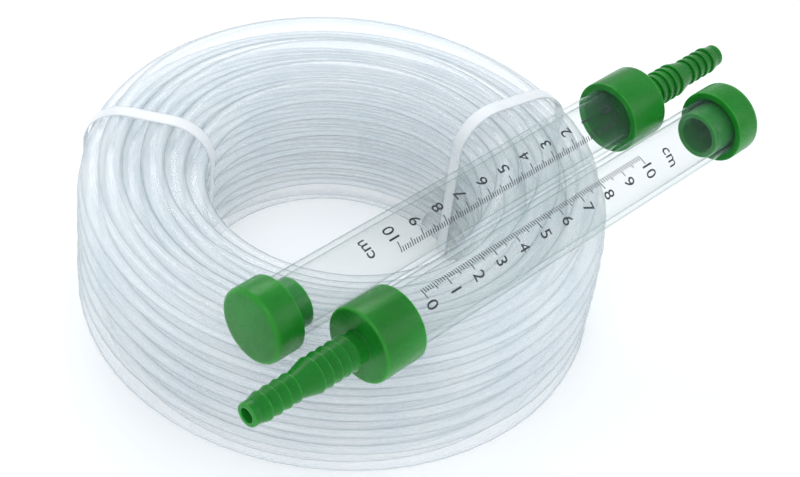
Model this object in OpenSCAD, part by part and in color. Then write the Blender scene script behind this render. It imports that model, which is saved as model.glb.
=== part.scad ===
/* [Hose coil] */
// Outer diameter of the coil
coil_od = 178; // [174:1:200]
// Width of the wound ring between the eye and the coil's edge
ring_w = 43; // [40:1:52]
// Height of the coil above the floor
coil_h = 65; // [56:1:90]
// Outer diameter of the hose
hose_od = 8; // [6:0.1:8.4]
// Distance between neighbouring turns, measured along the wound surface
turn_pitch = 8.8; // [8.7:0.1:10.5]
// Radius on which the turns go round the upper edges of the coil
shoulder_r = 10; // [10:0.5:12]
// Space between the wound layer and the core beneath it
core_gap = 1; // [0.8:0.1:1.6]
// Height of the lowest turns above the floor
turn_lift = 1; // [1:0.1:2]

/* [Straps] */
// Width of a strap
strap_w = 5; // [3:0.5:8]
// Thickness of a strap
strap_t = 0.5; // [0.3:0.05:0.6]
// Space between a strap and the turns
strap_gap = 0.3; // [0.2:0.05:0.35]
// Direction of the left strap, counted from the tubes' own direction
strap_left_angle = 125; // [95:1:140]
// Direction of the right strap, counted from the tubes' own direction
strap_right_angle = -12; // [-14:1:10]

/* [Gauge tubes] */
// Outer diameter of a gauge tube
tube_od = 20; // [18:0.5:22]
// Wall of a gauge tube
tube_wall = 1.8; // [1.2:0.1:2.2]
// Length of clear tube between the cup and the cap
tube_show = 150; // [120:1:180]
// Distance of the front tube's axis in from the coil's edge
front_inset = 17; // [16:0.5:23]
// Distance between the two tubes
tube_spacing = 25.2; // [24:0.1:30]
// Place of the cup's rim along the front tube
front_rim_x = -50; // [-57:1:-50]
// Place of the cup's rim along the rear tube
rear_rim_x = 75; // [75:0.5:76]
// Space under a tube where it lies on the turns
rest_gap = 0.3; // [0.2:0.05:0.5]

/* [Barb fittings] */
// Outer diameter of the cup
cup_od = 25; // [24:0.5:28]
// Depth to which the tube goes into the cup
cup_depth = 13; // [8:0.5:16]
// Thickness of the cup's floor
cup_floor = 3; // [2:0.5:5]
// Diameter of the waterway through the stem
water_d = 4.8; // [4:0.1:6]
// Diameter of the plain tip
tip_d = 7.8; // [7:0.1:8.2]
// Length of the plain tip
tip_len = 2.5; // [1.5:0.1:4]
// Diameter over the small barbs
small_barb_d = 9.5; // [9:0.1:10]
// Number of small barbs
small_barbs = 4; // [3:1:5]
// Distance between small barbs
small_pitch = 3.6; // [3:0.1:4]
// Length of the plain cone between the two sets of barbs
cone_len = 8; // [5:0.5:10]
// Diameter over the large barbs
large_barb_d = 11.8; // [11:0.1:12.6]
// Number of large barbs
large_barbs = 5; // [3:1:6]
// Distance between large barbs
large_pitch = 3.4; // [3:0.1:4]
// Depth of the groove behind a barb
barb_step = 0.8; // [0.4:0.05:0.9]
// Width of the crest of a barb
barb_land = 0.5; // [0.3:0.1:0.8]
// Length of the neck between the last barb and the cup
neck_len = 4.4; // [3:0.1:6]

/* [End caps] */
// Outer diameter of the cap
cap_od = 25; // [24:0.5:28]
// Depth to which the tube goes into the cap
cap_depth = 7; // [5:0.5:9]
// Thickness of the cap's end
cap_end = 3.5; // [2:0.5:5]
// Length of the plug that stands out past the cap's rim
plug_out = 7.5; // [5:0.5:10]
// Wall of the hollow plug
plug_wall = 1.9; // [1.4:0.1:2.4]
// Radius of the rounded edges of caps and cups
edge_r = 1; // [0.4:0.1:1.4]

/* [Fits] */
// Radial clearance of the tube in the cup and in the cap
fit_gap = 0.05; // [0.02:0.01:0.1]

/* [Hidden] */
$fn = 64;

milky = [0.86, 0.91, 0.95, 0.75];
clear = [0.90, 0.95, 0.96, 0.45];
film = [0.97, 0.98, 0.98];
green = [0.13, 0.50, 0.18];

coil_ro = coil_od / 2;
coil_ri = coil_ro - ring_w;
hose_r = hose_od / 2;
rings_per_loop = 24;
tube_sides = 6;

tube_r = tube_od / 2;
bore_r = tube_r - tube_wall;
tube_len = tube_show + cup_depth + cap_depth;
turn_top = coil_h - hose_r * (1 - cos(180 / tube_sides));
tube_z = turn_top + rest_gap + tube_r;
front_tube_off = coil_ro - front_inset;
rear_tube_off = front_tube_off - tube_spacing;

cup_len = cup_depth + cup_floor;
cap_len = cap_depth + cap_end;
plug_r = bore_r - fit_gap;

small_start = tip_len + small_pitch;
small_end = small_start + (small_barbs - 1) * small_pitch;
large_start = small_end + cone_len;
large_end = large_start + (large_barbs - 1) * large_pitch;
stem_len = large_end + neck_len;

// The wound layer's middle line in section: up the outer wall, over the top, down the inner wall
wall_low = turn_lift + hose_r;
wall_high = coil_h - hose_r - shoulder_r;
wall_run = wall_high - wall_low;
shoulder_run = shoulder_r * PI / 2;
top_out = coil_ro - hose_r - shoulder_r;
top_in = coil_ri + hose_r + shoulder_r;
top_run = top_out - top_in;
wound_run = 2 * wall_run + 2 * shoulder_run + top_run;
loops = wound_run / turn_pitch;
ring_count = floor(loops * rings_per_loop);
winding_start = 60;

function degrees(arc) = arc / shoulder_r * 180 / PI;

// Radius and height of the middle line after a run s along the section
function section_at(s) =
    let (a = wall_run, b = a + shoulder_run, c = b + top_run, d = c + shoulder_run)
    s < a ? [coil_ro - hose_r, wall_low + s]
    : s < b ? [top_out + shoulder_r * cos(degrees(s - a)), wall_high + shoulder_r * sin(degrees(s - a))]
    : s < c ? [top_out - (s - b), coil_h - hose_r]
    : s < d ? [top_in - shoulder_r * sin(degrees(s - c)), wall_high + shoulder_r * cos(degrees(s - c))]
    : [coil_ri + hose_r, wall_high - (s - d)];

function turn_angle(i) = winding_start + 360 * i / rings_per_loop;

function spiral_point(i) =
    let (p = section_at(wound_run * i / ring_count), t = turn_angle(i))
    [p[0] * cos(t), p[0] * sin(t), p[1]];

function heading(i) = [-sin(turn_angle(i)), cos(turn_angle(i)), 0];

// Each end runs on straight for one hose diameter
wound_points = concat(
    [spiral_point(0) - hose_od * heading(0)],
    [for (i = [0 : ring_count]) spiral_point(i)],
    [spiral_point(ring_count) + hose_od * heading(ring_count)]);
wound_angles = concat(
    [turn_angle(0)],
    [for (i = [0 : ring_count]) turn_angle(i)],
    [turn_angle(ring_count)]);

// Least distance between a turn and the turns beyond it, on rings of about the same direction
function turn_gaps() = [
    for (i = [0 : ring_count - rings_per_loop])
        for (j = [i + rings_per_loop - 2 : rings_per_loop : ring_count])
            for (k = [j : min(j + 4, ring_count)])
                norm(spiral_point(i) - spiral_point(k)) - hose_od];

function tube_ring(centre, t) = [
    for (k = [0 : tube_sides - 1])
        let (a = 360 * (k + 0.5) / tube_sides + 90)
        centre + hose_r * [cos(a) * cos(t), cos(a) * sin(t), sin(a)]];

function ring_faces(n) = [
    for (i = [0 : n - 2])
        for (k = [0 : tube_sides - 1])
            let (a = i * tube_sides + k,
                 b = i * tube_sides + (k + 1) % tube_sides,
                 c = a + tube_sides,
                 d = b + tube_sides)
            each [[a, c, b], [b, c, d]]];

function end_faces(n) = [
    for (k = [1 : tube_sides - 2])
        each [[0, k, k + 1],
              [(n - 1) * tube_sides, (n - 1) * tube_sides + k + 1, (n - 1) * tube_sides + k]]];

// Section with four rounded corners, between two radii and two heights
module rounded_section(r0, r1, z0, z1, low_r, high_r) {
    translate([r0 + low_r, z0])
        square([r1 - r0 - 2 * low_r, z1 - z0 - high_r]);
    translate([r0 + high_r, z1 - high_r - low_r])
        square([r1 - r0 - 2 * high_r, high_r + low_r]);
    translate([r0, z0 + low_r])
        square([r1 - r0, z1 - z0 - low_r - high_r]);
    for (r = [r0 + low_r, r1 - low_r])
        translate([r, z0 + low_r])
            circle(low_r);
    for (r = [r0 + high_r, r1 - high_r])
        translate([r, z1 - high_r])
            circle(high_r);
}

core_inset = hose_od + core_gap;
core_high_r = max(shoulder_r - hose_r - core_gap, 2);
core_low_r = 1.5;

module hose_core() {
    slot_w = strap_w + 2 * strap_gap;
    slot_h = turn_lift + strap_gap;
    color(milky)
        difference() {
            rotate_extrude()
                rounded_section(coil_ri + core_inset, coil_ro - core_inset, 0, coil_h - core_inset,
                                core_low_r, core_high_r);
            for (a = [strap_left_angle, strap_right_angle])
                rotate(a)
                    translate([coil_ri, -slot_w / 2, -1])
                        cube([coil_ro - coil_ri, slot_w, slot_h + 1]);
        }
}

module hose_winding() {
    n = len(wound_points);
    color(milky)
        polyhedron(
            points = [for (i = [0 : n - 1]) each tube_ring(wound_points[i], wound_angles[i])],
            faces = concat(ring_faces(n), end_faces(n)));
    echo(least_gap_between_turns = min(turn_gaps()), loops = loops);
}

strap_low = turn_lift - strap_gap - strap_t;
strap_low_r = hose_r;

module strap(angle) {
    outer = strap_gap + strap_t;
    color(film)
        rotate([90, 0, angle])
            translate([0, 0, -strap_w / 2])
                linear_extrude(strap_w)
                    difference() {
                        rounded_section(coil_ri - outer, coil_ro + outer, strap_low, coil_h + outer,
                                        strap_low_r + outer, shoulder_r + hose_r + outer);
                        rounded_section(coil_ri - strap_gap, coil_ro + strap_gap, strap_low + strap_t,
                                        coil_h + strap_gap, strap_low_r + strap_gap,
                                        shoulder_r + hose_r + strap_gap);
                    }
}

module strap_left() {
    strap(strap_left_angle);
}

module strap_right() {
    strap(strap_right_angle);
}

// Gauge parts are drawn along +X, with the cup's rim at 0 and the cap's rim at tube_show
module on_front_tube() {
    translate([front_rim_x, -front_tube_off, tube_z])
        children();
}

module on_rear_tube() {
    translate([rear_rim_x, -rear_tube_off, tube_z])
        rotate(180)
            children();
}

module turned() {
    rotate([90, 0, 90])
        rotate_extrude()
            children();
}

module gauge_tube() {
    color(clear)
        turned()
            translate([bore_r, -cup_depth])
                square([tube_wall, tube_len]);
}

// One barb in section: a slope up to its crest, then a step down
module barb_section(root_r, crest_r, pitch) {
    polygon([[0, 0], [root_r, 0], [crest_r, pitch - barb_land], [crest_r, pitch], [0, pitch]]);
}

// Stem in section, from its tip at 0 to the cup's floor
module stem_section() {
    small_r = small_barb_d / 2;
    large_r = large_barb_d / 2;
    square([tip_d / 2, tip_len]);
    for (i = [0 : small_barbs - 1])
        translate([0, tip_len + i * small_pitch])
            barb_section(i == 0 ? tip_d / 2 : small_r - barb_step, small_r, small_pitch);
    translate([0, small_end])
        barb_section(small_r - barb_step, large_r, cone_len);
    for (i = [1 : large_barbs - 1])
        translate([0, large_start + (i - 1) * large_pitch])
            barb_section(large_r - barb_step, large_r, large_pitch);
    translate([0, large_end])
        square([large_r - barb_step, neck_len]);
}

// Cup or cap in section: a block whose closed end, at height 0, has a rounded edge
module cup_section(outer_r, length) {
    translate([0, edge_r])
        square([outer_r, length - edge_r]);
    square([outer_r - edge_r, edge_r]);
    translate([outer_r - edge_r, edge_r])
        circle(edge_r);
}

module barb_fitting() {
    color(green)
        turned()
            translate([0, -cup_len - stem_len])
                difference() {
                    union() {
                        stem_section();
                        translate([0, stem_len])
                            cup_section(cup_od / 2, cup_len);
                    }
                    translate([0, -1])
                        square([water_d / 2, stem_len + cup_floor + 2]);
                    translate([0, stem_len + cup_floor])
                        square([tube_r + fit_gap, cup_depth + 1]);
                }
}

module end_cap() {
    color(green)
        translate([tube_show + cap_len, 0, 0])
            rotate(180)
                turned() {
                    difference() {
                        cup_section(cap_od / 2, cap_len);
                        translate([0, cap_end])
                            square([tube_r + fit_gap, cap_depth + 1]);
                    }
                    translate([plug_r - plug_wall, cap_end - edge_r])
                        square([plug_wall, edge_r + cap_depth + plug_out]);
                }
}

module gauge_tube_a() {
    on_rear_tube() gauge_tube();
}

module gauge_tube_b() {
    on_front_tube() gauge_tube();
}

module barb_fitting_a() {
    on_rear_tube() barb_fitting();
}

module barb_fitting_b() {
    on_front_tube() barb_fitting();
}

module end_cap_a() {
    on_rear_tube() end_cap();
}

module end_cap_b() {
    on_front_tube() end_cap();
}

hose_core();
hose_winding();
strap_left();
strap_right();
gauge_tube_a();
gauge_tube_b();
barb_fitting_a();
barb_fitting_b();
end_cap_a();
end_cap_b();
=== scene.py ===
import math
import random

import bmesh
import bpy
from mathutils import Matrix, Vector


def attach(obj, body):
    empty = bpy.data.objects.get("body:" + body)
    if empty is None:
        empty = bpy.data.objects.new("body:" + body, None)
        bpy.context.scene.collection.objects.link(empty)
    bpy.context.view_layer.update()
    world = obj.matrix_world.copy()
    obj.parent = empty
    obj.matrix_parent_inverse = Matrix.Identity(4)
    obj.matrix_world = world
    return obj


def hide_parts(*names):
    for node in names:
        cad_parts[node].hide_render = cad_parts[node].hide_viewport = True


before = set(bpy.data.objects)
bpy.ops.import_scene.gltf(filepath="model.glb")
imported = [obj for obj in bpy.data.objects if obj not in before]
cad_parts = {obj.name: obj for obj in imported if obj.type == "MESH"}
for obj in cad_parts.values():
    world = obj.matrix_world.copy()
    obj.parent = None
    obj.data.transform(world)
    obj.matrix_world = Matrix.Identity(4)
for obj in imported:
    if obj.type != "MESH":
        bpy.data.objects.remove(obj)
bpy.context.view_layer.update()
scene = bpy.context.scene
scene.view_settings.view_transform = "Standard"
scene.cycles.transparent_max_bounces = 20  # the clear hose lies many walls deep
mm = 0.001
print("frame loaded")


def linear(r, g, b):  # screen colour 0-255 to what the shaders take
    out = []
    for v in (r, g, b):
        v = v / 255
        out.append(v / 12.92 if v <= 0.04045 else ((v + 0.055) / 1.055) ** 2.4)
    return (*out, 1.0)


def grey(v):
    return (v, v, v, 1)


# camera
shot = {
    "focalPx": 1935,
    "imageWide": 800,
    "elevation": 41.6,
    "tubeSlant": 50.1,  # how far the tubes turn away from straight across
    "roll": 8.0,
    "distance": 660,
    "aimRight": 20.6,
    "aimUp": 32.4,
    "sensorWide": 36,
    "clipNear": 0.01,
}


def makeCamera():
    e = math.radians(shot["elevation"])
    a = math.radians(shot["tubeSlant"])
    r = math.radians(shot["roll"])
    right = Vector((math.cos(a), -math.sin(a), 0))
    ahead = Vector((math.sin(a) * math.cos(e), math.cos(a) * math.cos(e), -math.sin(e)))
    up = right.cross(ahead)
    aim = right * shot["aimRight"] * mm + Vector((0, 0, shot["aimUp"] * mm))
    side = right * math.cos(r) + up * math.sin(r)
    top = up * math.cos(r) - right * math.sin(r)
    turn = Matrix((side, top, -ahead)).transposed().to_4x4()
    data = bpy.data.cameras.new("shotCamera")
    data.sensor_fit = "HORIZONTAL"
    data.sensor_width = shot["sensorWide"]
    data.lens = shot["focalPx"] / shot["imageWide"] * shot["sensorWide"]
    data.clip_start = shot["clipNear"]
    cam = bpy.data.objects.new("shotCamera", data)
    cam.matrix_world = Matrix.Translation(aim - ahead * shot["distance"] * mm) @ turn
    scene.collection.objects.link(cam)
    scene.camera = cam


makeCamera()
print("camera set")


# shader helpers
def newShader(name):
    mat = bpy.data.materials.new(name)
    mat.use_nodes = True
    nodes = mat.node_tree.nodes
    body = nodes["Principled BSDF"]
    coords = nodes.new("ShaderNodeTexCoord")
    return mat, nodes, mat.node_tree.links, body, coords


def cloud(nodes, links, coords, scale, detail=3.0, stretch=(1, 1, 1)):
    place = nodes.new("ShaderNodeMapping")
    place.inputs["Scale"].default_value = stretch
    links.new(coords.outputs["Object"], place.inputs["Vector"])
    noise = nodes.new("ShaderNodeTexNoise")
    noise.inputs["Scale"].default_value = scale
    noise.inputs["Detail"].default_value = detail
    links.new(place.outputs["Vector"], noise.inputs["Vector"])
    return noise.outputs["Fac"]


def ramp(nodes, links, source, stops):
    band = nodes.new("ShaderNodeValToRGB")
    edge = band.color_ramp.elements
    edge[0].position, edge[0].color = stops[0]
    edge[1].position, edge[1].color = stops[-1]
    for place, colour in stops[1:-1]:
        edge.new(place).color = colour
    links.new(source, band.inputs["Fac"])
    return band.outputs["Color"]


def spread(nodes, links, source, low, high, noiseSpan=(0.3, 0.7)):  # nearly all noise lies in that span
    span = nodes.new("ShaderNodeMapRange")
    span.inputs["From Min"].default_value = noiseSpan[0]
    span.inputs["From Max"].default_value = noiseSpan[1]
    span.inputs["To Min"].default_value = low
    span.inputs["To Max"].default_value = high
    links.new(source, span.inputs["Value"])
    return span.outputs["Result"]


def bump(nodes, links, source, strength, depth):
    node = nodes.new("ShaderNodeBump")
    node.inputs["Strength"].default_value = strength
    node.inputs["Distance"].default_value = depth
    links.new(source, node.inputs["Height"])
    return node.outputs["Normal"]


# clear where faced, denser where the wall turns away, and shade is what shadow rays see of that
def seeThrough(nodes, links, body, stops, shade=0.12):
    facing = nodes.new("ShaderNodeLayerWeight")
    band = [(place, grey(dense)) for place, dense in stops]
    rays = nodes.new("ShaderNodeLightPath")  # clear vinyl passes on most of the light that it bends
    light = nodes.new("ShaderNodeMapRange")
    links.new(rays.outputs["Is Shadow Ray"], light.inputs["Value"])
    light.inputs["To Min"].default_value = 1
    light.inputs["To Max"].default_value = shade
    both = nodes.new("ShaderNodeMath")
    both.operation = "MULTIPLY"
    links.new(ramp(nodes, links, facing.outputs["Facing"], band), both.inputs[0])
    links.new(light.outputs["Result"], both.inputs[1])
    links.new(both.outputs["Value"], body.inputs["Alpha"])
    return facing.outputs["Facing"]


def tintBy(nodes, links, source, face, tint, start, end, most):  # tint comes in from start to end of source
    mix = nodes.new("ShaderNodeMix")
    mix.data_type = "RGBA"
    mix.inputs["B"].default_value = tint
    links.new(ramp(nodes, links, source, [(start, grey(0)), (end, grey(most))]), mix.inputs["Factor"])
    links.new(face, mix.inputs["A"])
    return mix.outputs["Result"]


# mesh helpers
def meshPiece(name, verts, faces, mat, body, smooth=True):
    data = bpy.data.meshes.new(name)
    data.from_pydata(verts, [], faces)
    data.update()
    bm = bmesh.new()
    bm.from_mesh(data)
    bmesh.ops.recalc_face_normals(bm, faces=bm.faces)
    bm.to_mesh(data)
    bm.free()
    data.polygons.foreach_set("use_smooth", [smooth] * len(data.polygons))
    data.materials.append(mat)
    obj = bpy.data.objects.new(name, data)
    scene.collection.objects.link(obj)
    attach(obj, body)
    return obj


def soften(points, steps=4, most=0.48):  # points are (x, r, radius of that corner), most is of a side
    out = []
    for i, (x, r, rad) in enumerate(points):
        here = Vector((x, r))
        if rad <= 0 or i in (0, len(points) - 1):
            out.append(here)
            continue
        back = Vector(points[i - 1][:2]) - here
        fore = Vector(points[i + 1][:2]) - here
        half = back.angle(fore) / 2
        cut = min(rad / math.tan(half), back.length * most, fore.length * most)
        p = here + back.normalized() * cut
        q = here + fore.normalized() * cut
        for k in range(steps + 1):
            t = k / steps
            out.append(p.lerp(here, t).lerp(here.lerp(q, t), t))
    return out


def turnedPiece(name, profile, seat, mat, body, around=96, closed=True):
    verts, faces, rings = [], [], []
    onAxis = 1e-6
    for p in profile:
        if p.y < onAxis:
            rings.append([len(verts)])
            verts.append(seat((p.x, 0, 0)))
            continue
        rings.append(list(range(len(verts), len(verts) + around)))
        for k in range(around):
            t = 2 * math.pi * k / around
            verts.append(seat((p.x, p.y * math.cos(t), p.y * math.sin(t))))
    pairs = list(zip(rings, rings[1:]))
    if closed:
        pairs.append((rings[-1], rings[0]))
    for one, two in pairs:
        for k in range(around):
            n = (k + 1) % around
            if len(one) == 1:
                faces.append((one[0], two[k], two[n]))
            elif len(two) == 1:
                faces.append((one[k], two[0], one[n]))
            else:
                faces.append((one[k], two[k], two[n], one[n]))
    return meshPiece(name, verts, faces, mat, body)


# hose
hose = {
    "outside": 8.0,
    "bore": 6.0,
    "length": 20.0,  # metres
    "innerLayer": 50.3,
    "outerLayer": 84.7,
    "rowsPerLayer": [7, 8, 8, 8, 8, 8],
    "edgeRow": (-1.3, -0.6),
    "lowRow": 4.0,
    "rowStep": 7.56,
    "shiftAt": 315,  # degrees, where each turn steps over to the next
    "shiftOver": 50,
    "endAt": 300,  # degrees short of the full last turn
    "stepsPerTurn": 60,
    "sides": 16,
    "openSteps": 5,  # how deep the bore shows at the ends
    "sway": 0.34,
    "waves": (2, 3, 5),  # in one turn
    "phase": 6.28,
    "seed": 7,
    "milk": [(0.30, linear(234, 241, 246)), (0.55, linear(242, 247, 250)), (0.75, linear(248, 251, 252))],
    "patches": (60, 1),  # noise scale and detail
    "smears": (160, 0),
    "rough": (0.06, 0.16),
    "ripples": (420, 0),
    "rippleBump": (0.025, 0.0004),
    "opacity": [(0, 0.06), (0.6, 0.42), (1, 0.85)],  # by how far the wall turns away
    "paintedEdgeShade": (linear(138, 158, 161), 0.5, 0.92, 0.95),  # painted shade: grey-green colour where the wall is seen edge on, from, to, most
    "coat": (0.5, 0.08),  # weight and roughness
}


def hoseRows():
    layers = hose["rowsPerLayer"]
    gap = (hose["outerLayer"] - hose["innerLayer"]) / (len(layers) - 1)
    rows = []
    for k, count in enumerate(layers):
        lift = 0.5 if k % 2 == 0 else 0.0
        heights = [hose["lowRow"] + (j + lift) * hose["rowStep"] for j in range(count)]
        if k % 2:
            heights.reverse()
        rows += [(hose["innerLayer"] + k * gap, z) for z in heights]
    edge = len(rows) - layers[-1]  # the highest turn of the outer layer sits in on the shoulder
    rows[edge] = (rows[edge][0] + hose["edgeRow"][0], rows[edge][1] + hose["edgeRow"][1])
    return rows


def hosePath():
    rng = random.Random(hose["seed"])
    rows = hoseRows()
    waves = []  # two sets for each row, in and out and up and down
    for _ in range(2 * len(rows)):
        waves.append([(rng.uniform(-1, 1), rng.uniform(0, hose["phase"]), m) for m in hose["waves"]])
    steps = hose["stepsPerTurn"]
    total = len(rows) * steps - round(hose["endAt"] / 360 * steps)
    start = math.radians(hose["shiftAt"] + hose["shiftOver"] / 2)
    turnOver = hose["shiftOver"] / 360

    def sway(n, t):
        return hose["sway"] * sum(a * math.sin(m * t + p) / m ** 0.5 for a, p, m in waves[n])

    points = []
    for i in range(total + 1):
        row, part = divmod(i, steps)
        part = part / steps
        t = start + 2 * math.pi * i / steps
        row = min(row, len(rows) - 1)
        after = min(row + 1, len(rows) - 1)
        mix = max(0.0, (part - (1 - turnOver)) / turnOver)
        mix = mix * mix * (3 - 2 * mix)
        r = rows[row][0] * (1 - mix) + rows[after][0] * mix
        z = rows[row][1] * (1 - mix) + rows[after][1] * mix
        r += sway(2 * row, t) * (1 - mix) + sway(2 * after, t) * mix
        z += sway(2 * row + 1, t) * (1 - mix) + sway(2 * after + 1, t) * mix
        z = max(z, hose["outside"] / 2)
        points.append(Vector((r * math.cos(t), r * math.sin(t), z)) * mm)
    return points


def tubeRings(points, radius, sides):
    rings = []
    angles = [2 * math.pi * k / sides for k in range(sides)]
    for i, p in enumerate(points):
        along = (points[min(i + 1, len(points) - 1)] - points[max(i - 1, 0)]).normalized()
        out = along.cross(Vector((0, 0, 1))).normalized()
        up = out.cross(along)
        rings.append([p + (out * math.cos(t) + up * math.sin(t)) * radius for t in angles])
    return rings


def hoseShader():
    mat, nodes, links, body, coords = newShader("softHoseVinyl")
    milk = ramp(nodes, links, cloud(nodes, links, coords, *hose["patches"]), hose["milk"])
    smears = cloud(nodes, links, coords, *hose["smears"])
    links.new(spread(nodes, links, smears, *hose["rough"]), body.inputs["Roughness"])
    ripples = cloud(nodes, links, coords, *hose["ripples"])
    links.new(bump(nodes, links, ripples, *hose["rippleBump"]), body.inputs["Normal"])
    facing = seeThrough(nodes, links, body, hose["opacity"])
    # painted shade: the hose's colour turns grey-green where its wall is seen edge on
    links.new(tintBy(nodes, links, facing, milk, *hose["paintedEdgeShade"]), body.inputs["Base Color"])
    body.inputs["Coat Weight"].default_value = hose["coat"][0]
    body.inputs["Coat Roughness"].default_value = hose["coat"][1]
    return mat


def makeHose():
    points = hosePath()
    sides = hose["sides"]
    last = len(points) - 1
    verts, faces = [], []

    def skin(rings):
        first = len(verts)
        verts.extend(v for ring in rings for v in ring)
        for i in range(len(rings) - 1):
            for k in range(sides):
                a, b = first + i * sides + k, first + i * sides + (k + 1) % sides
                faces.append((a, b, b + sides, a + sides))
        return first

    skin(tubeRings(points, hose["outside"] / 2 * mm, sides))
    for end in (points[:hose["openSteps"]], points[:-hose["openSteps"] - 1:-1]):  # open mouth at each end
        bore = skin(tubeRings(end, hose["bore"] / 2 * mm, sides))
        faces.append(tuple(range(len(verts) - sides, len(verts))))
        lip = 0 if end[0] == points[0] else last * sides
        for k in range(sides):
            m = (k + 1) % sides
            if lip:
                m, k = sides - 1 - k, sides - 1 - m  # the far mouth is wound the other way
                far = [bore + (sides // 2 - n) % sides for n in (m, k)]
                faces.append((lip + k, lip + m, *far))
            else:
                faces.append((k, m, bore + m, bore + k))
    obj = meshPiece("woundHose", verts, faces, hoseShader(), "hose_coil")
    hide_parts("hose_core", "hose_winding")
    tuple(points[0])
    [tuple(p) for p in points]
    return points


hosePoints = makeHose()
print("hose wound, rings", len(hosePoints))


# straps
straps = {
    "angles": {"filmStrapLeft": (125, "strap_left"), "filmStrapRight": (-12, "strap_right")},
    "width": 5.0,
    "thick": 0.35,
    "inner": 45.55,  # section inside the strap
    "outer": 89.45,
    "bottom": 0.35,
    "top": 65.45,
    "low": 4.3,  # radii of the bends
    "high": 14.4,
    "across": 8,
    "bendSteps": 12,
    "longest": 2.5,  # step along the straight runs
    "edgeDrop": 0.06,  # of the thickness
    "floorGap": 0.1,
    "haze": [(0.3, linear(240, 243, 245)), (0.7, linear(250, 251, 252))],
    "hazeNoise": (90, 4),  # noise scale and detail
    "roughNoise": (240, 2),
    "rough": (0.22, 0.42),
    "creases": (300, 3),
    "creaseBump": (0.12, 0.0003),
    "ior": 1.35,
}


def strapShader():
    mat, nodes, links, body, coords = newShader("strapFilm")
    haze = cloud(nodes, links, coords, *straps["hazeNoise"])
    links.new(ramp(nodes, links, haze, straps["haze"]), body.inputs["Base Color"])
    wear = cloud(nodes, links, coords, *straps["roughNoise"])
    links.new(spread(nodes, links, wear, *straps["rough"]), body.inputs["Roughness"])
    creases = cloud(nodes, links, coords, *straps["creases"])
    links.new(bump(nodes, links, creases, *straps["creaseBump"]), body.inputs["Normal"])
    body.inputs["IOR"].default_value = straps["ior"]
    return mat


def strapLine():
    s, line = straps, []
    low, high = s["low"], s["high"]
    corners = [  # middle of the bend, radius, from angle
        (s["outer"] - high, s["top"] - high, high, 0), (s["inner"] + high, s["top"] - high, high, 90),
        (s["inner"] + low, s["bottom"] + low, low, 180), (s["outer"] - low, s["bottom"] + low, low, 270)]
    for r, z, bend, turn in corners:
        for k in range(s["bendSteps"] + 1):
            t = math.radians(turn + 90 * k / s["bendSteps"])
            line.append((r + bend * math.cos(t), z + bend * math.sin(t)))
    even = []
    for a, b in zip(line, line[1:] + line[:1]):  # cut long straight runs
        n = max(1, round(math.dist(a, b) / s["longest"]))
        even += [(a[0] + (b[0] - a[0]) * k / n, a[1] + (b[1] - a[1]) * k / n) for k in range(n)]
    return [(r * mm, z * mm) for r, z in even]


def makeStrap(name, degrees, node, mat):
    angle = math.radians(degrees)
    line = strapLine()
    count, across = len(line), straps["across"]
    out = Vector((math.cos(angle), math.sin(angle), 0))
    side = Vector((-math.sin(angle), math.cos(angle), 0))
    verts, faces = [], []
    for i in range(count):
        a, b = line[i - 1], line[(i + 1) % count]
        along = Vector((b[0] - a[0], b[1] - a[1])).normalized()
        away = Vector((along.y, -along.x))
        for layer in (0, 1):
            for j in range(across + 1):
                w = j / across - 0.5
                lift = straps["thick"] * mm * (layer - straps["edgeDrop"] * (2 * w) ** 2)
                r, z = line[i][0] + away.x * lift, line[i][1] + away.y * lift
                z = max(z, straps["floorGap"] * mm)
                verts.append(out * r + side * w * straps["width"] * mm + Vector((0, 0, z)))
    top = across + 1  # from the inner face to the outer
    row = 2 * top
    for i in range(count):
        here, there = i * row, (i + 1) % count * row
        for j in range(across):
            faces.append((here + j, there + j, there + j + 1, here + j + 1))
            faces.append((here + top + j, here + top + j + 1, there + top + j + 1, there + top + j))
        for j in (0, across):
            faces.append((here + j, there + j, there + top + j, here + top + j))
    obj = meshPiece(name, verts, faces, mat, "hose_coil")
    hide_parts(node)


filmFinish = strapShader()
for strapName, (strapAngle, strapNode) in straps["angles"].items():
    makeStrap(strapName, strapAngle, strapNode, filmFinish)
print("straps tied")


# gauge tubes, with their fittings and caps
gauge = {
    "height": 74.764,
    "outside": 10.0,  # radius
    "bore": 8.2,
    "length": 150.0,  # between the cup's rim and the cap's rim
    "inCup": 12.95,
    "inCap": 6.95,
    "places": {"A": (75.0, -46.8, -1), "B": (-50.0, -72.0, 1)},  # rim, side, way to the cap
    "soft": 0.2,
    "around": 128,
    "face": [(0.3, linear(128, 158, 150)), (0.7, linear(162, 188, 180))],
    "streaks": (500, 2, (0.03, 1, 1)),  # noise scale, detail and stretch along the tube
    "rough": (0.03, 0.08),
    "drawLines": (260, 2, (0.05, 1, 1)),
    "lineBump": (0.05, 0.0003),
    "opacity": [(0, 0.03), (0.4, 0.045), (0.7, 0.1), (0.86, 0.5), (1, 0.95)],
    # painted shade: darker grey-green where the tube wall is seen edge on
    "paintedEdgeShade": (linear(118, 145, 141), 0.6, 0.9, 0.95),
}


def seatOn(letter):
    rim, side, way = gauge["places"][letter]

    def seat(p):
        return Vector((rim + way * p[0], side + way * p[1], gauge["height"] + p[2])) * mm

    return seat


def tubeShader():
    mat, nodes, links, body, coords = newShader("gaugeClear")
    streaks = cloud(nodes, links, coords, *gauge["streaks"])
    face = ramp(nodes, links, streaks, gauge["face"])
    links.new(spread(nodes, links, streaks, *gauge["rough"]), body.inputs["Roughness"])
    drawLines = cloud(nodes, links, coords, *gauge["drawLines"])
    links.new(bump(nodes, links, drawLines, *gauge["lineBump"]), body.inputs["Normal"])
    facing = seeThrough(nodes, links, body, gauge["opacity"])
    # painted shade: the tube's colour turns grey-green where its wall is seen edge on
    links.new(tintBy(nodes, links, facing, face, *gauge["paintedEdgeShade"]), body.inputs["Base Color"])
    return mat


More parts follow.
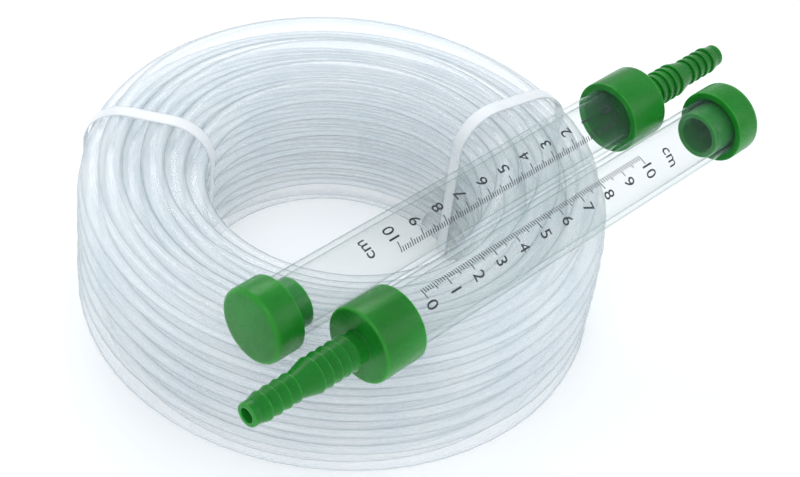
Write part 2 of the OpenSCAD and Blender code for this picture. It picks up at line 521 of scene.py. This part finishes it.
def makeTube(letter, mat):
    ro, ri, soft = gauge["outside"], gauge["bore"], gauge["soft"]
    a, b = -gauge["inCup"], gauge["length"] + gauge["inCap"]
    middle = (a, (ro + ri) / 2, 0)  # the outline starts and ends in the middle of the wall
    profile = soften([middle, (a, ro, soft), (b, ro, soft), (b, ri, soft), (a, ri, soft), middle])
    obj = turnedPiece("clearTube" + letter, profile[:-1], seatOn(letter), mat,
                      "gauge_" + letter.lower(), gauge["around"])
    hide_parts("gauge_tube_" + letter.lower())


clearFinish = tubeShader()
for gaugeLetter in gauge["places"]:
    makeTube(gaugeLetter, clearFinish)
print("clear tubes placed")


# barbed fittings
fitting = {
    "tip": (3.9, 2.5),  # radius, length
    "tipSoft": (0.15, 0.5, 0.3),  # hole, end, shoulder
    "hole": 2.4,
    "small": (4.75, 4, 3.6),  # radius, how many, pitch
    "cone": 8.0,
    "large": (5.9, 5, 3.4),
    "groove": 0.8,
    "crest": 0.5,
    "neck": 4.4,
    "cup": (12.5, 13.0, 3.0),  # radius, depth, floor
    "cupBore": 10.05,
    "edge": 1.0,
    "rim": 0.45,
    "rimInside": 0.6,  # of the rim outside
    "inside": 0.2,
    "soft": 0.3,
    "root": 0.5,  # of soft
    "neckSoft": 0.5,
    "green": [(0.30, linear(19, 108, 29)), (0.52, linear(26, 125, 38)), (0.72, linear(34, 138, 46))],
    "flow": (45, 4, (0.5, 1, 1)),  # noise scale, detail and stretch
    "paintedRimLight": (linear(70, 168, 62), 0.515, 0.56, 0.8),  # painted highlight: sharp rims, where the edges catch the light, are paler
    "roughNoise": (130, 3),
    "rough": (0.22, 0.34),
    "grain": (900, 2),
    "grainBump": (0.07, 0.0002),
    "specular": 0.22,
    "glow": (0.7, (0.35, 1.0, 0.35), 0.004),  # waxy plastic passes a little light at its rims
}


def greenShader():
    mat, nodes, links, body, coords = newShader("mouldedGreen")
    face = ramp(nodes, links, cloud(nodes, links, coords, *fitting["flow"]), fitting["green"])
    form = nodes.new("ShaderNodeNewGeometry")
    # painted highlight: pale green laid on the sharp rims by pointiness
    paintedRimLight = tintBy(nodes, links, form.outputs["Pointiness"], face, *fitting["paintedRimLight"])
    links.new(paintedRimLight, body.inputs["Base Color"])
    wear = cloud(nodes, links, coords, *fitting["roughNoise"])
    links.new(spread(nodes, links, wear, *fitting["rough"]), body.inputs["Roughness"])
    grain = cloud(nodes, links, coords, *fitting["grain"])
    links.new(bump(nodes, links, grain, *fitting["grainBump"]), body.inputs["Normal"])
    body.inputs["Specular IOR Level"].default_value = fitting["specular"]
    weight, radius, depth = fitting["glow"]
    body.inputs["Subsurface Weight"].default_value = weight
    body.inputs["Subsurface Radius"].default_value = radius
    body.inputs["Subsurface Scale"].default_value = depth
    return mat


def fittingProfile():
    f = fitting
    tipR, tipLen = f["tip"]
    smallR, smallCount, smallPitch = f["small"]
    largeR, largeCount, largePitch = f["large"]
    cupR, cupDepth, cupFloor = f["cup"]
    holeSoft, endSoft, shoulderSoft = f["tipSoft"]
    soft, root, inside = f["soft"], f["soft"] * f["root"], f["inside"]
    stem = tipLen + smallCount * smallPitch + f["cone"] + (largeCount - 1) * largePitch + f["neck"]
    x = -cupDepth - cupFloor - stem
    line = [(x, f["hole"], holeSoft), (x, tipR, endSoft)]
    x += tipLen
    line.append((x, tipR, shoulderSoft))
    for i in range(smallCount):
        if i:
            line.append((x, smallR - f["groove"], root))
        x += smallPitch
        line += [(x - f["crest"], smallR, soft), (x, smallR, soft)]
    line.append((x, smallR - f["groove"], root))
    x += f["cone"]
    line += [(x - f["crest"], largeR, soft), (x, largeR, soft)]
    for i in range(1, largeCount):
        line.append((x, largeR - f["groove"], root))
        x += largePitch
        line += [(x - f["crest"], largeR, soft), (x, largeR, soft)]
    neckR = largeR - f["groove"]
    line.append((x, neckR, root))
    x += f["neck"]
    line += [(x, neckR, f["neckSoft"]), (x, cupR, f["edge"]), (0, cupR, f["rim"]),
             (0, f["cupBore"], f["rim"] * f["rimInside"]),
             (-cupDepth, f["cupBore"], inside), (-cupDepth, f["hole"], inside)]
    start = (line[0][0] + 1, f["hole"], 0)  # the outline starts and ends inside the hole
    return soften([start] + line + [start])[:-1]


greenFinish = greenShader()
for gaugeLetter in gauge["places"]:
    low = gaugeLetter.lower()
    part = turnedPiece("barbFitting" + gaugeLetter, fittingProfile(), seatOn(gaugeLetter), greenFinish,
                       "fitting_" + low)
    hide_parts("barb_fitting_" + low)
print("fittings turned")


# end caps
cap = {
    "radius": 12.5,
    "depth": 7.0,
    "end": 3.5,
    "bore": 10.05,
    "plug": (8.15, 6.25, 7.5),  # outer radius, inner radius, length past the rim
    "edge": 1.9,
    "rim": 0.4,
    "rimInside": 0.6,  # of the rim outside
    "inside": 0.2,
    "plugSoft": (0.5, 0.3, 0.4),  # outside, inside, floor
}


def capProfile():
    c, rim = cap, gauge["length"]
    floor = rim + c["depth"]
    plugOut, plugIn, plugLen = c["plug"]
    outSoft, inSoft, floorSoft = c["plugSoft"]
    end, mouth = floor + c["end"], rim - plugLen
    return soften([
        (end, 0, 0), (end, c["radius"], c["edge"]), (rim, c["radius"], c["rim"]),
        (rim, c["bore"], c["rim"] * c["rimInside"]),
        (floor, c["bore"], c["inside"]), (floor, plugOut, c["inside"]),
        (mouth, plugOut, outSoft), (mouth, plugIn, inSoft), (floor, plugIn, floorSoft), (floor, 0, 0)])


for gaugeLetter in gauge["places"]:
    low = gaugeLetter.lower()
    part = turnedPiece("endCap" + gaugeLetter, capProfile(), seatOn(gaugeLetter), greenFinish,
                       "cap_" + low, closed=False)
    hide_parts("end_cap_" + low)
print("caps turned")


# printed centimetre scale
scale = {
    "zero": 7.0,  # from the cup's rim
    "span": 10,  # centimetres
    "ticks": (1.7, 2.6, 3.6),  # lengths of millimetre, half and whole centimetre
    "tickWide": 0.36,
    "digitHigh": 6.0,
    "bold": 0.035,
    "lift": 0.03,
    "tickAt": {"A": -57.0, "B": 7.0},  # degrees round from the top
    "digitAt": {"A": -20.0, "B": 40.0},
    "unitAt": 118.0,
    "curveSteps": 4,
    "ink": [(0.3, linear(34, 39, 46)), (0.7, linear(50, 56, 64))],
    "inkGrain": (1500, 3),  # noise scale and detail
    "rough": (0.4, 0.6),
}


def inkShader():
    mat, nodes, links, body, coords = newShader("scaleInk")
    grain = cloud(nodes, links, coords, *scale["inkGrain"])
    links.new(ramp(nodes, links, grain, scale["ink"]), body.inputs["Base Color"])
    links.new(spread(nodes, links, grain, *scale["rough"]), body.inputs["Roughness"])
    return mat


def digitMesh(text):
    data = bpy.data.curves.new("digit", "FONT")
    data.body = text
    data.size = scale["digitHigh"]
    data.offset = 0 if text == "4" else scale["bold"]  # a 4 would close up
    data.align_x = "CENTER"
    data.align_y = "CENTER"
    data.resolution_u = scale["curveSteps"]
    obj = bpy.data.objects.new("digit", data)
    scene.collection.objects.link(obj)
    bpy.context.view_layer.update()
    flat = obj.to_mesh()
    verts = [(v.co.x, v.co.y) for v in flat.vertices]
    faces = [tuple(p.vertices) for p in flat.polygons]
    obj.to_mesh_clear()
    bpy.data.objects.remove(obj)
    bpy.data.curves.remove(data)
    return verts, faces


def makeScale(letter, mat):
    seat = seatOn(letter)
    radius = gauge["outside"] + scale["lift"]
    verts, faces = [], []

    def ink(flat, cells, x, degrees):  # flat is (right, up), up runs to the cap
        first = len(verts)
        for right, up in flat:
            t = math.radians(degrees) + right / radius
            verts.append(seat((x + up, -radius * math.sin(t), radius * math.cos(t))))
        faces.extend(tuple(first + i for i in c) for c in cells)

    def tick(size, x, degrees, cuts=4):
        half = scale["tickWide"] / 2
        flat = [(size * k / cuts, u) for u in (-half, half) for k in range(cuts + 1)]
        cells = [(k, k + 1, cuts + 2 + k, cuts + 1 + k) for k in range(cuts)]
        ink(flat, cells, x, degrees)

    for k in range(10 * scale["span"] + 1):
        size = scale["ticks"][2 if k % 10 == 0 else 1 if k % 5 == 0 else 0]
        tick(size, scale["zero"] + k, scale["tickAt"][letter])
    for k in range(scale["span"] + 1):
        flat, cells = digitMesh(str(k))
        ink(flat, cells, scale["zero"] + 10 * k, scale["digitAt"][letter])
    flat, cells = digitMesh("cm")
    ink(flat, cells, scale["unitAt"], scale["digitAt"][letter])
    meshPiece("scalePrint" + letter, verts, faces, mat,
              "gauge_" + letter.lower(), smooth=False)


inkFinish = inkShader()
for gaugeLetter in gauge["places"]:
    makeScale(gaugeLetter, inkFinish)
print("scales printed")


# floor, light and background
studio = {
    "floor": [(0.2, linear(247, 248, 248)), (0.8, linear(250, 250, 250))],
    "floorNoise": (8, 3),  # noise scale and detail
    "roughNoise": (60, 2),
    "rough": (0.75, 0.85),
    "floorHalf": 4,
    "floorDrop": 0.0001,
    "lift": 0.18,  # makes the floor white in the picture
    "world": (linear(252, 254, 255), linear(220, 227, 234)),
    "worldTop": 0.6,  # height at which the upper colour is reached
    "worldPower": 0.86,
    "lampAim": (0, 0, 0.04),
    "lamps": {  # place, size, watts
        "keyLamp": ((-0.9, -0.5, 1.3), 0.9, 4.8),
        "fillLamp": ((0.7, -1.1, 0.9), 1.0, 3),
        "backLamp": ((0.5, 0.9, 1.0), 0.8, 4.8),
    },
}


def makeFloor():
    mat, nodes, links, body, coords = newShader("paleFloor")
    patches = cloud(nodes, links, coords, *studio["floorNoise"])
    links.new(ramp(nodes, links, patches, studio["floor"]), body.inputs["Base Color"])
    wear = cloud(nodes, links, coords, *studio["roughNoise"])
    links.new(spread(nodes, links, wear, *studio["rough"]), body.inputs["Roughness"])
    body.inputs["Emission Color"].default_value = grey(1)
    rays = nodes.new("ShaderNodeLightPath")  # the lift shows in the picture and lights nothing
    seen = None
    for kind in ("Is Camera Ray", "Is Glossy Ray", "Is Transmission Ray"):
        step = nodes.new("ShaderNodeMath")
        step.operation = "MULTIPLY_ADD"
        links.new(rays.outputs[kind], step.inputs[0])
        step.inputs[1].default_value = studio["lift"]
        step.inputs[2].default_value = 0
        if seen:
            links.new(seen, step.inputs[2])
        seen = step.outputs["Value"]
    links.new(seen, body.inputs["Emission Strength"])
    data = bpy.data.meshes.new("paleFloor")
    half, z = studio["floorHalf"], -studio["floorDrop"]
    corners = [(-half, -half, z), (half, -half, z), (half, half, z), (-half, half, z)]
    data.from_pydata(corners, [], [(0, 1, 2, 3)])
    data.materials.append(mat)
    obj = bpy.data.objects.new("paleFloor", data)
    scene.collection.objects.link(obj)


def makeLight():
    world = bpy.data.worlds.new("paleStudio")
    scene.world = world
    world.use_nodes = True
    nodes, links = world.node_tree.nodes, world.node_tree.links
    back = nodes["Background"]
    coords = nodes.new("ShaderNodeTexCoord")
    split = nodes.new("ShaderNodeSeparateXYZ")
    links.new(coords.outputs["Generated"], split.inputs["Vector"])
    low, high = studio["world"]
    links.new(ramp(nodes, links, split.outputs["Z"], [(0.0, low), (studio["worldTop"], high)]),
              back.inputs["Color"])
    back.inputs["Strength"].default_value = studio["worldPower"]
    for name, (place, size, watts) in studio["lamps"].items():
        data = bpy.data.lights.new(name, "AREA")
        data.shape = "DISK"
        data.size = size
        data.energy = watts
        lamp = bpy.data.objects.new(name, data)
        lamp.location = place
        aim = Vector(studio["lampAim"]) - Vector(place)
        lamp.rotation_euler = aim.to_track_quat("-Z", "Y").to_euler()
        scene.collection.objects.link(lamp)


makeFloor()
makeLight()
print("studio lit")

bpy.context.view_layer.update()
print("scene done")
